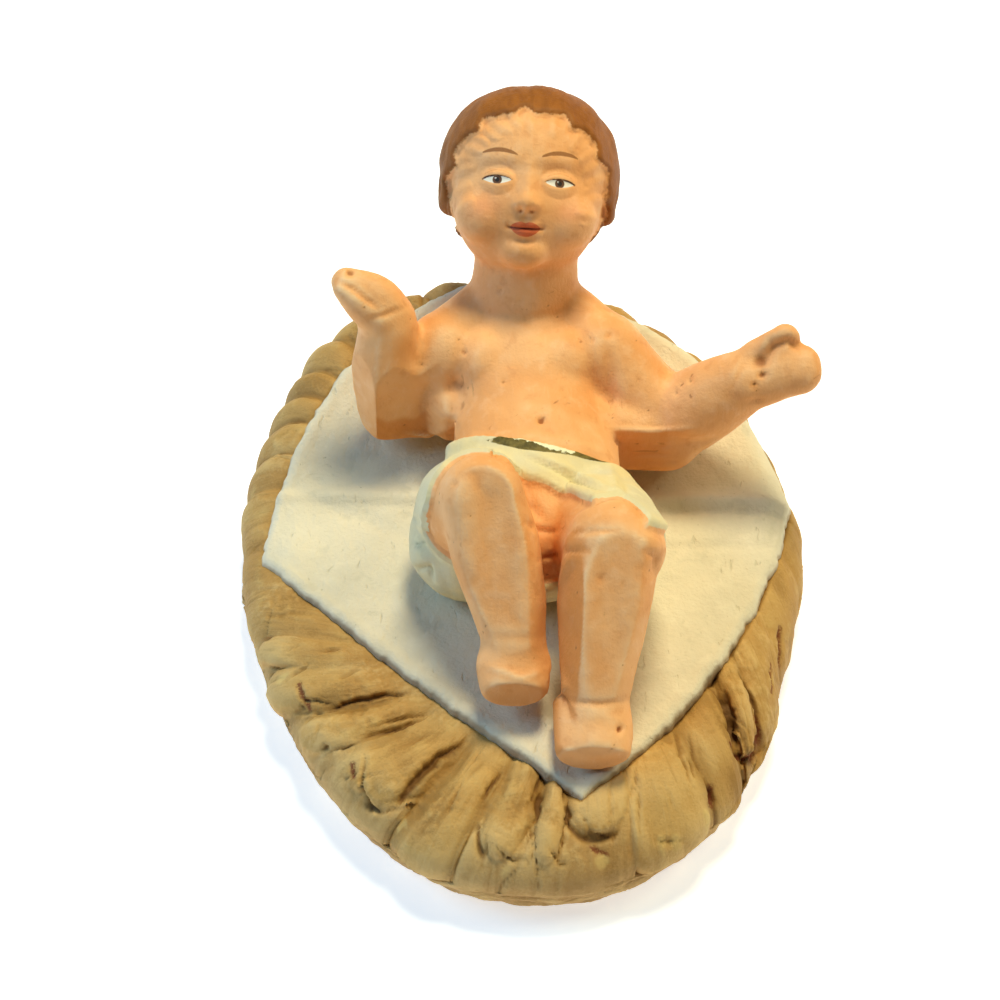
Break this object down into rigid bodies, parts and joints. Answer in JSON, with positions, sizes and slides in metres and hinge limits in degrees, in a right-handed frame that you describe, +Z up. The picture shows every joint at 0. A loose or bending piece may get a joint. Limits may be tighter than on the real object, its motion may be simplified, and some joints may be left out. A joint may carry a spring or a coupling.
{
  "type": "nativity baby figurine in a straw bed",
  "caption": "Hand-painted clay crib figure: a reclining baby with open arms and a loincloth, resting in a straw bed with a pale sheet.",
  "frame": {"origin": "on the flat underside of the straw bed, below the middle of the bed", "axes": "+Z up, +Y towards the head end of the bed and the figure's head, +X to the figure's left hand"},
  "size_m": [0.0621, 0.081, 0.0456],
  "materials": {
    "painted_baby": "matt hand-painted flesh tone over fired clay, with brown hair, cream loincloth and a gold belt",
    "painted_straw": "matt straw-coloured paint over fired clay, red-brown where it has chipped",
    "painted_sheet": "matt cream paint over fired clay"
  },
  "bodies": {
    "root": {"baby": "painted_baby", "straw_bed": "painted_straw"}
  },
  "joints": []
}
